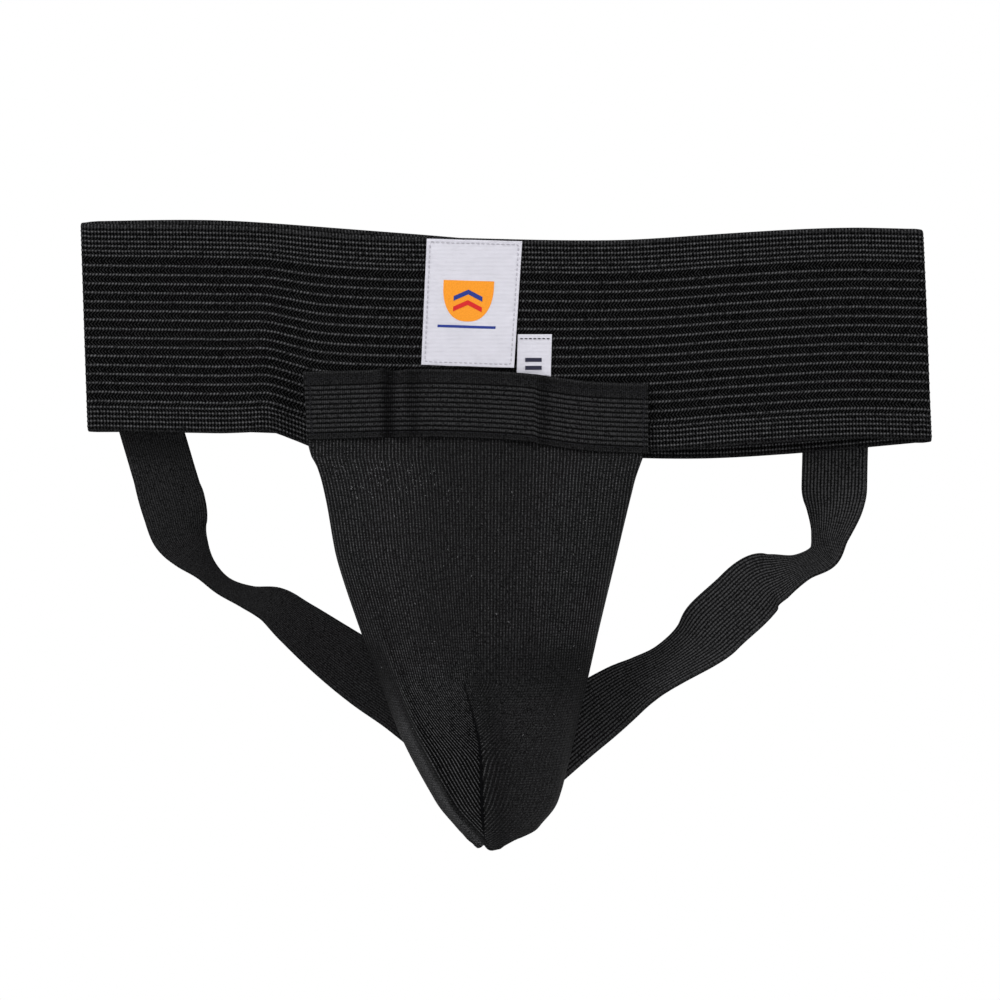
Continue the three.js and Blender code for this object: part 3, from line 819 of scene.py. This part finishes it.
def make_mouth():
    first, last = MOUTH_RIBS[0] - 0.9, MOUTH_RIBS[-1] + MOUTH_RIB
    edges = [(0, 0.5), (0.5, 0.75), (1.2, 0.45), (first - 0.5, 0.6), (last, 0), (last + 0.5, 0.6),
             (MOUTH_WIDTH - 1, 0.45), (MOUTH_WIDTH - 0.5, 0.7), (MOUTH_WIDTH, 0.4)]
    rows = rib_profile(edges, [(rib, MOUTH_RIB) for rib in MOUTH_RIBS],
                       ((-0.9, 0), (-0.45, 0.75), (0, 1), (0.45, 0.75)))
    down, ridge = rows.T[..., None]
    left = MOUTH_LOW[0] + 1.9 * down / MOUTH_WIDTH
    x = left + (MOUTH_HIGH[0] - left) * np.linspace(0, 1, 300)[None]
    x, y, z = mouth_point(x, down)
    # Painted shade in the two pleats' folds and beside the step at the right: the ribs are lowered there, which
    # darkens their colour and also flattens them a little.
    flat = 0.5 * hump(x, PLEATS[0], 2.4) + 0.2 * hump(x, PLEATS[1], 2.6) + 0.3 * hump(x, 14.5, 2.2)
    ridge = ridge * (1 - flat)
    half = rounded(down, MOUTH_WIDTH, 0.62, 0.5, 1.0)
    front, back = grid(x, y - half - 0.22 * ridge, z), grid(x, y + half, z)
    elastic = cloth("mouth_ribbed_elastic", front, back, grid(x, down), ridge)
    place(elastic, ribbed_material(), "ribbed_elastic", "waistband", ["mouth_elastic"])


def mouth_face(x, z):
    """Point and outward direction on the elastic's front, for the stitches there"""
    _, y, height = mouth_point(x, mouth_top(x) - z)
    return np.array([x, float(y) - 0.72, float(height)]), FRONT


def make_mouth_stitches():
    for name, down in (("upper", 2.7), ("lower", MOUTH_WIDTH - 2)):
        places = np.linspace(MOUTH_LOW[0] + 3.4, MOUTH_HIGH[0] - 3, 200)
        points, out = on_surface(mouth_face, [(x, mouth_top(x) - down) for x in places])
        sew(stitch_line(f"mouth_stitches_{name}", points, out, 2.4, 0.24, 0.62), f"mouth_hem_stitch_{name}")
    for name, x, lean in (("left", MOUTH_LOW[0] + 2, 1.6), ("right", MOUTH_HIGH[0] - 1.8, 0)):
        top = mouth_top(x)
        line = zigzag_line(f"mouth_tack_{name}", (x, top - 1.6), (x + lean, top - MOUTH_WIDTH + 1.6), 1.5, 0.8,
                           mouth_face, 0.2)
        sew(line, f"mouth_side_tack_{name}")


make_mouth()
make_mouth_stitches()


# Leg straps: middle line from the waistband's back to behind the pouch's tip, as x, y, height and the
# tilt of the outer edge to the front in degrees

LEFT_ROUTE = [
    (-128.6, 6.9, -53.6, 7), (-126, 6.2, -62.5, 18), (-124, 5, -71.3, 36), (-119.9, 4.2, -78.4, 56),
    (-114.2, 3.6, -84.9, 73), (-107.2, 3, -91.2, 77), (-97.8, 2.2, -95.4, 72), (-87.7, 1.2, -98.8, 57),
    (-78.9, 0, -105.5, 47), (-65.2, -2, -115.9, 32), (-51, -4.6, -125.9, 16), (-36.2, -7.3, -135.9, 4),
    (-20.3, -8.35, -150.2, 0), (-5.8, -8.35, -172, 0),
]
RIGHT_ROUTE = [
    (125.4, 7.1, -53.6, 8), (125.2, 6.4, -62.3, 37), (123.6, 5.4, -71.8, 60), (121, 4.8, -79.7, 67),
    (112.6, 4.2, -84.1, 68), (103.7, 3.6, -87.4, 47), (96.8, 3, -90.3, 24), (88.8, 2, -97.8, 2),
    (80.3, 1, -105.4, 4), (72.3, 0, -113.7, 38), (62, -0.8, -121, 51), (52.3, -1.6, -126.4, 47),
    (42.9, -2.5, -132.1, 32), (28, -4.8, -143, 8), (11, -6.7, -157.5, 1), (-5, -6.95, -171, 0),
]
SEWN_LIFT = 0.95  # from the band's outside to the middle of a strap's sewn end


def strap_route(name, route):
    """Rows of x, y, height and tilt, with the sewn end put in front, and the middle of its tack as x, height"""
    top = low_high(f"leg_strap_{name}_sewn_end")[1][Z]
    lean = (route[0][0] - route[1][0]) / (route[0][2] - route[1][2])

    def line(z):
        return route[0][0] + lean * (z - route[0][2])
    upper = [(line(z), back_face(line(z), z) + SEWN_LIFT, z, 0) for z in np.linspace(top, -47, 5)]
    return np.array(upper + route), (line(top - 6), top - 6)


def strap_directions(centre, at, tilt, side):
    """Unit directions over a strap's width and out of its face, at each place along it"""
    along = unit(np.gradient(centre, axis=0))
    square = unit(grid(-along[:, Z], 0, along[:, X]) * side)
    level = (1 - ramp(at, 4.6, 6))[:, None]  # the sewn end lies square to the band
    outward = unit(square * (1 - level) + np.array([side, 0, 0]) * level)
    angle = np.radians(tilt)[:, None]
    wide = outward * np.cos(angle) + FRONT * np.sin(angle)
    normal = unit(np.cross(along, wide))
    return wide, normal * np.sign(-normal[250, Y])


def make_strap(name, route, side, ribs):
    """One piece of elastic: its upper end is sewn flat to the band's back, the rest hangs free."""
    rows, (tack_x, tack_z) = strap_route(name, route)
    x, y, z, tilt = (curve(np.arange(len(rows)), rows[:, k]) for k in range(4))
    at = np.linspace(0, len(rows) - 1, 300)
    centre = grid(x(at), y(at), z(at))
    wide, normal = (d[:, None] for d in strap_directions(centre, at, tilt(at), side))
    margin = 0.7  # plain cloth beside the outer ribs
    count = 18 if ribs else 26
    pitch = (STRAP_WIDTH - 2 * margin) / count
    samples = rib_profile([(0, 0.4), (0.5, 0.6), (STRAP_WIDTH - 0.5, 0.6), (STRAP_WIDTH, 0.4)],
                          [(margin + pitch * (i + 0.5), pitch) for i in range(count)],
                          ((-0.48, 0), (-0.22, 0.7), (0, 1), (0.22, 0.7)))
    across, ridge = samples.T
    share = across / STRAP_WIDTH - 0.5
    curl = 0.35 * (1 - (2 * share) ** 2) * np.sin(at / 2.3)[:, None] * ramp(at, 5, 8)[:, None]
    half = rounded(across, STRAP_WIDTH, STRAP_THICKNESS / 2, 0.55, 0.8)
    middle = centre[:, None] + wide * (share * STRAP_WIDTH)[None, :, None] + normal * curl[..., None]
    raised = (0.12 if ribs else 0.03) * ridge
    front = middle + normal * (half + raised)[None, :, None]
    back = middle - normal * (half + 0.5 * raised)[None, :, None]
    walked = walk(centre)
    ridge = ridge if ribs else 0.5 * ridge + 0.3
    strap = cloth(f"strap_{name}", front, back, grid(walked[:, None], across), ridge)
    material = plush_material(f"strap_elastic_{name}", grey(0.045 if ribs else 0.027), ribs)
    place(strap, material, "strap_elastic", None, [f"leg_strap_{name}", f"leg_strap_{name}_sewn_end"])
    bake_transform(strap)
    tack = zigzag_line(f"strap_tack_{name}", (tack_x - 10.5, tack_z), (tack_x + 10.5, tack_z), 8, 1.1,
                       back_surface(SEWN_LIFT + STRAP_THICKNESS / 2 + 0.05), 0.24)
    sew(tack, f"leg_strap_{name}_waist_tack")


make_strap("left", LEFT_ROUTE, -1, False)
make_strap("right", RIGHT_ROUTE, 1, True)
TIP_TACK_FACE = low_high("leg_strap_tip_tack")[0][Y]
sew(zigzag_line("strap_tip_tack", (-12, -164), (2, -164), 6, 1.0,
                lambda x, z: (np.array([x, TIP_TACK_FACE, z]), BACK), 0.24),
    "leg_strap_tip_tack", "pouch")


# Label and size tab

LABEL_WIDTH, LABEL_HEIGHT = 35.5, 48
LABEL_HEM = 1.3  # from its edge to its stitches
SATIN_THICKNESS = 0.3
ORANGE, RED, NAVY = (0.83, 0.3, 0.03), (0.6, 0.03, 0.03), (0.03, 0.05, 0.24)
SATIN = satin_material("label_satin", (0.635, 0.625, 0.69))


def node_corners(node):
    """The four corners of a flat patch from the top left, clockwise, as [x, height]"""
    points = np.array([vertex.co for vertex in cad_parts[node].data.vertices]) / MM
    low, high = points.min(0), points.max(0)
    wanted = [(low[0], high[2]), (high[0], high[2]), (high[0], low[2]), (low[0], low[2])]
    return [points[np.hypot(points[:, 0] - x, points[:, 2] - z).argmin()][[0, 2]] for x, z in wanted]


def patch_grid(corners, across, down):
    """Points of a patch as [x, height], at shares of its width and height"""
    a, b, c, d = corners
    across, down = across[..., None], down[..., None]
    return (a * (1 - across) + b * across) * (1 - down) + (d * (1 - across) + c * across) * down


def satin_patch(name, corners, across, down, y):
    """Piece of satin over a flat patch, with the given depths of its outside"""
    xz = patch_grid(corners, across, down)
    front, back = (grid(xz[..., 0], y + depth, xz[..., 1]) for depth in (0, SATIN_THICKNESS))
    return cloth(name, front, back, xz)


LABEL_CORNERS = node_corners("label")
LABEL_FACE = low_high("label")[0][Y]


def label_y(across, down):
    """Depth of the label's outside: puckers at its edge, a lifted right edge and a turned-in hem"""
    # Millimetres from the nearest edge, near enough
    inner = np.minimum(np.minimum(across, 1 - across) * 36, np.minimum(down, 1 - down) * LABEL_HEIGHT)
    pucker = 0.16 * np.sin(across * 41 + 3 * np.sin(down * 9)) * np.sin(down * 37) * np.exp(-inner / 5)
    lift = 0.55 * ramp(across, 0.9, 1) * ramp(down, 0.3, 0.8)
    groove = 0.12 * hump(inner, LABEL_HEM, 0.35)
    soft = 0.22 * np.sin(across * 4 + 1) * np.sin(down * 5)
    return LABEL_FACE - 0.1 - 0.14 * ramp(inner, 1.7, 1.1) + groove - lift - pucker - soft


def on_label(outline, lift):
    """Points of an outline given in millimetres from the label's top left corner: right, down"""
    across, down = (np.array(outline) / (LABEL_WIDTH, LABEL_HEIGHT)).T
    x, z = patch_grid(LABEL_CORNERS, across, down).T
    return grid(x, label_y(across, down) - lift, z)


def make_label():
    across, down = np.meshgrid(np.linspace(0, 1, 130), np.linspace(0, 1, 160))
    label = satin_patch("label_satin_patch", LABEL_CORNERS, across, down, label_y(across, down))
    place(label, SATIN, "label_satin", "waistband", ["label"])
    near, right, bottom = LABEL_HEM, LABEL_WIDTH - LABEL_HEM, LABEL_HEIGHT - LABEL_HEM
    ring = [(near, near), (right, near), (right, bottom), (near, bottom), (near, near)]
    outline = [(a + (c - a) * share, b + (d - b) * share) for (a, b), (c, d) in zip(ring, ring[1:])
               for share in np.linspace(0, 1, 60, endpoint=False)]
    route = on_label(outline, 0.1)
    line = stitch_line("label_stitches", route, FRONT, 1.9, 0.2, 0.68)
    place(line, WHITE_THREAD, "white_thread", "waistband", ["label_stitching"])


def plate(name, front, colour, body):
    """Thin raised figure woven on a label, within a closed outline"""
    thing = prism(name, front, front + 0.12 * BACK, smooth=False)
    place(thing, thread_material(name + "_thread", colour, 0.5), None, body)


def make_emblem():
    """Plain shield with two chevrons and a bar under it; it stands for no maker."""
    middle, top, wide, tall = 16.5, 15.5, 9.5, 15.5
    edge = [(wide * math.cos(turn) ** 0.8, top + 3 + (tall - 3) * math.sin(turn))
            for turn in np.linspace(0, math.pi / 2, 25)]
    shield = [(middle - wide, top), (middle + wide, top)]
    shield += [(middle + x, below) for x, below in edge] + [(middle - x, below) for x, below in edge[-2::-1]]
    plate("emblem_shield", on_label(shield, 0.08), ORANGE, "waistband")
    half, rise, thick = 5.4, 2.6, 1.8
    for name, colour, at in (("emblem_chevron", NAVY, top + 3.4), ("emblem_chevron_low", RED, top + 7.4)):
        low = at + rise
        chevron = [(middle - half, low), (middle, at), (middle + half, low), (middle + half, low + thick),
                   (middle, at + thick), (middle - half, low + thick)]
        plate(name, on_label(chevron, 0.16), colour, "waistband")
    left, right, high, low = middle - 11, middle + 11, top + 17, top + 18
    bar = on_label([(left, high), (right, high), (right, low), (left, low)], 0.08)
    plate("emblem_bar", bar, NAVY, "waistband")


def make_size_tab():
    """Tab sewn along its top edge, with two dark bars that stand for no letter"""
    across, down = np.meshgrid(np.linspace(0, 1, 40), np.linspace(0, 1, 80))
    bow = 0.35 * np.sin(math.pi * down) * ramp(down, 0.15, 0.3) + 0.08 * np.sin(across * 9 + down * 7)
    tab = satin_patch("size_tab_satin", node_corners("size_tab"), across, down, LABEL_FACE - bow)
    place(tab, SATIN, "label_satin", None, ["size_tab"])
    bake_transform(tab)
    left, right = 7.4, 13.6
    for i, (low, high) in enumerate(((-6.4, -4.9), (-9.4, -7.9))):
        ring = [(left, high), (right, high), (right, low), (left, low)]
        points = np.array([(x, LABEL_FACE - 0.58, z) for x, z in ring])
        plate(f"size_mark_{i + 1}", points, (0.03, 0.03, 0.05), "size_tab")
    low, high = low_high("size_tab_stitch")
    route = [(x, LABEL_FACE - 0.1, (low[Z] + high[Z]) / 2) for x in np.linspace(low[X], high[X], 40)]
    sew(stitch_line("size_tab_stitches", route, FRONT, 1.5, 0.2, 0.7), "size_tab_stitch")


make_label()
make_emblem()
make_size_tab()


# Cup

CUP_TOP, CUP_TIP = -51, -182
CUP_WALL = 2.5
CUP_BASE = POUCH_BASE - 2.5  # depth of its edge
CUP_INSET = 5.7  # its outline inside the knit's
CUP_DROP = 4.5  # its crown under the knit's
RIM_HEIGHT = 2.2


def cup_point(u, v):
    """Outside of the cup: the pouch's dome, smaller all round, with an arched top edge"""
    t = 2 * v - 1
    z = (CUP_TOP - 4 * t * t) * (1 - u) + (CUP_TIP + 3 * t * t) * u
    corner = 0.8 + 0.2 * np.sin(math.pi / 2 * np.clip(u / 0.14, 0, 1))
    half = (bare_half(z) - CUP_INSET) * corner
    share = even_arch(math.pi * v)
    y = CUP_BASE - (np.maximum(pouch_rise(z) - CUP_DROP, 1.2) - RIM_HEIGHT) * arch(share)
    return grid(pouch_middle(z) + share * half, y, z)


def slot_cutter(x, z, length, width):
    """Upright round-ended bar that cuts one vent"""
    turns = np.linspace(0, math.pi, 13)
    radius, half = width / 2, (length - width) / 2
    ring = [(x + radius * math.cos(turn), z + half + radius * math.sin(turn)) for turn in turns]
    ring += [(x - radius * math.cos(turn), z - half - radius * math.sin(turn)) for turn in turns]
    front, back = ([(a, depth, b) for a, b in ring] for depth in (POUCH_BASE - 70, POUCH_BASE + 1))
    return prism("slot_cutter", front, back)


def make_cup():
    u, v = np.meshgrid(np.linspace(0, 1, 110), np.linspace(0, 1, 100), indexing="ij")
    outside = cup_point(u, v)
    inside = outside - CUP_WALL * grid_normals(outside)
    inside[..., Y] = np.minimum(inside[..., Y], CUP_BASE)
    shell = cloth("cup_plastic_shell", outside, inside, outside[..., [0, 2]])
    for column in (-1, 0, 1):
        for row in (0, 1, 2):
            z = -84 - 25 * row + 5 * abs(column)
            cutter = slot_cutter(float(pouch_middle(z)) + column * (20 - 3 * row), z, 14, 4.5)
            cut = shell.modifiers.new("slot", "BOOLEAN")
            cut.object = cutter
            cut.operation = "DIFFERENCE"
            bpy.context.view_layer.objects.active = shell
            bpy.ops.object.modifier_apply(modifier=cut.name)
            bpy.data.objects.remove(cutter)
    shell.data.set_sharp_from_angle(angle=math.radians(40))
    place(shell, plastic_material(), "cup_plastic", "cup", ["cup_shell"])


def make_rim():
    """Soft edge all round the shell: its outline with rounded corners, a little inside it"""
    share = np.linspace(0, 1, 60, endpoint=False)
    zero, one = np.zeros(60), np.ones(60)
    loop = np.concatenate([cup_point(zero, share), cup_point(share, one), cup_point(one, 1 - share),
                           cup_point(1 - share, zero)])
    for _ in range(12):
        loop = (np.roll(loop, 1, 0) + 2 * loop + np.roll(loop, -1, 0)) / 4
    loop[:, Y] = POUCH_BASE - 1.15
    inward = np.cross(FRONT, unit(np.roll(loop, -1, 0) - np.roll(loop, 1, 0)))
    inward *= np.sign((inward * (loop.mean(0) - loop)).sum(1))[:, None]
    rim = tube("cup_soft_rim", loop + inward * 1.4, inward, FRONT, 2.3, 1.1, 14, closed=True)
    place(rim, soft_edge_material(), "rim_rubber", "cup", ["cup_rim"])


make_cup()
make_rim()


# Lint: short pale fibres on the dark fabric

def make_lint():
    """Most fibres lie under the mouth elastic on the left, the others anywhere on the pouch."""
    starts, ends, out = [], [], []
    for i in range(120):
        x, z = random.normal(-44, 13), random.normal(-50.5, 5)
        if i > 80:
            x, z = random.uniform(-55, 35), random.uniform(-150, -48)
        if z > -43 or abs(x - pouch_middle(z)) > 0.93 * pouch_half(z):
            continue
        point, direction = pouch_at(0.1)(x, z)
        turn, length = random.uniform(0, math.pi), random.uniform(0.25, 0.9)
        step = np.array([math.cos(turn), 0, math.sin(turn)]) * length
        starts.append(point)
        ends.append(pouch_at(0.1)(x + step[0], z + step[2])[0])
        out.append(direction)
    lint = beads("lint_fibres", starts, ends, out, 0.065, 4, 4)
    place(lint, thread_material("lint", (0.27, 0.27, 0.28)), None, "pouch")


make_lint()


# Stage, light and camera

VIEW_CENTRE = Vector((-0.0021, 0, -0.0585))
FRAME_WIDTH = 0.3774  # width of the view at the waistband's front
CAMERA_DISTANCE = 1.5
FRONT_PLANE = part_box("waistband")[0].y


def make_stage():
    bpy.ops.mesh.primitive_circle_add(vertices=96, radius=1.15, fill_type="NGON", location=(0, 0, -0.45))
    floor = bpy.context.object
    floor.name = "studio_floor"
    m = Nodes("studio_floor")
    m.colour(m.noise(3, 2), (0.86, 0.86, 0.86), (0.9, 0.9, 0.9))
    floor.data.materials.append(m.finish(0.9, 0.1))


def area_light(name, place_at, size, power):
    """Round lamp that points at the middle of the view"""
    light = bpy.data.lights.new(name, "AREA")
    light.shape = "DISK"
    light.size = size
    light.energy = power
    thing = link_new(name, light)
    thing.location = place_at
    thing.rotation_euler = (VIEW_CENTRE - Vector(place_at)).to_track_quat("-Z", "Y").to_euler()


def make_light_and_camera():
    world = bpy.data.worlds.new("studio")
    world.use_nodes = True
    background = world.node_tree.nodes["Background"]
    background.inputs["Color"].default_value = (1, 1, 1, 1)
    background.inputs["Strength"].default_value = 1.0
    bpy.context.scene.world = world
    area_light("key", (-0.75, -0.9, 1.1), 0.5, 14)
    area_light("fill", (1.1, -1.0, 0.5), 0.6, 4)
    camera = bpy.data.cameras.new("camera")
    camera.sensor_width = 36
    camera.lens = camera.sensor_width * CAMERA_DISTANCE / FRAME_WIDTH
    camera.clip_end = 20
    thing = link_new("camera", camera)
    thing.location = (VIEW_CENTRE.x, FRONT_PLANE - CAMERA_DISTANCE, VIEW_CENTRE.z)
    thing.rotation_euler = (math.pi / 2, 0, 0)
    bpy.context.scene.camera = thing
    bpy.context.scene.view_settings.view_transform = "Standard"


make_stage()
make_light_and_camera()
